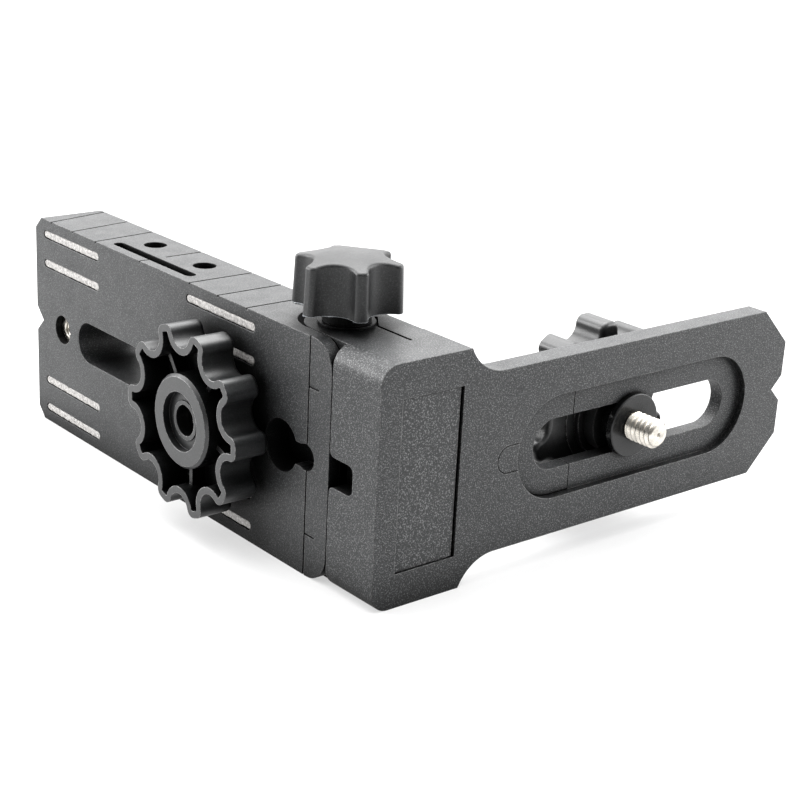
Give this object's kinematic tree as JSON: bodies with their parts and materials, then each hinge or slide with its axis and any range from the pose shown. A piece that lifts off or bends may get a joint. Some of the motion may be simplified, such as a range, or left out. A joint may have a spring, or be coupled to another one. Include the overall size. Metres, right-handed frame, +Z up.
{
  "type": "folding l bracket with camera screws",
  "caption": "Folding L-shaped bracket for an alt azimuth mount: slotted arms on a clamped hinge, each with a sliding camera screw and a lobed knob.",
  "frame": {"origin": "on the hinge axis, in the plane of the lower edge that the bracket stands on", "axes": "+Z up along the hinge axis, +Y along the left arm away from the hinge, +X along the right arm away from the hinge"},
  "size_m": [0.1275, 0.1377, 0.064],
  "materials": {
    "black_nylon": "fine textured black moulding",
    "black_knob": "satin black moulding",
    "black_flange": "smooth black moulding",
    "washer_nylon": "plain black washer",
    "black_steel": "black oxide",
    "nickel": "nickel plated",
    "brass": "plain brass",
    "silver_strip": "rough silver"
  },
  "bodies": {
    "left_arm": {"left_arm_shell": "black_nylon", "left_arm_back_cover": "black_nylon", "back_cover_screws": "black_steel", "grip_strips": "silver_strip", "end_thread_insert": "nickel", "hinge_bush": "brass", "lug_washers": "washer_nylon"},
    "right_arm": {"right_arm_bracket": "black_nylon", "block_panel": "black_nylon", "slot_end_insert": "black_nylon", "hinge_nut": "brass"},
    "clamp_lift": {"clamp_washer": "black_steel"},
    "clamp": {"clamp_knob": "black_knob", "clamp_bolt": "nickel"},
    "left_carriage": {"left_slider": "black_flange", "left_knob_washer": "washer_nylon"},
    "left_screw": {"left_knob": "black_knob", "left_knob_nut": "black_steel", "left_camera_screw": "nickel"},
    "right_carriage": {"right_slider": "black_flange", "right_knob_washer": "washer_nylon"},
    "right_screw": {"right_knob": "black_knob", "right_knob_nut": "black_steel", "right_camera_screw": "nickel"}
  },
  "joints": [
    {"name": "fold", "type": "hinge", "parent": "left_arm", "child": "right_arm", "pos_m": [0, 0, 0.025], "axis": [0, 0, 1], "range_deg": [0, 90]},
    {"name": "clamp_lift", "type": "slide", "parent": "right_arm", "child": "clamp_lift", "axis": [0, 0, 1], "range_m": [0, 0.00201]},
    {"name": "clamp_turn", "type": "hinge", "parent": "clamp_lift", "child": "clamp", "pos_m": [0, 0, 0.058], "axis": [0, 0, 1], "range_deg": [0, 720]},
    {"name": "left_slide", "type": "slide", "parent": "left_arm", "child": "left_carriage", "axis": [0, -1, 0], "range_m": [-0.0543, 0.0009]},
    {"name": "left_knob_turn", "type": "hinge", "parent": "left_carriage", "child": "left_screw", "pos_m": [-0.017, 0.0264, 0.025], "axis": [-1, 0, 0], "continuous": true},
    {"name": "right_slide", "type": "slide", "parent": "right_arm", "child": "right_carriage", "axis": [1, 0, 0], "range_m": [-0.0224, 0.0238]},
    {"name": "right_knob_turn", "type": "hinge", "parent": "right_carriage", "child": "right_screw", "pos_m": [0.0583, -0.014, 0.025], "axis": [0, 1, 0], "continuous": true}
  ],
  "couplings": [
    {"joint": "clamp_lift", "follows": "clamp_turn", "m_per_rad": 0.00015915}
  ]
}
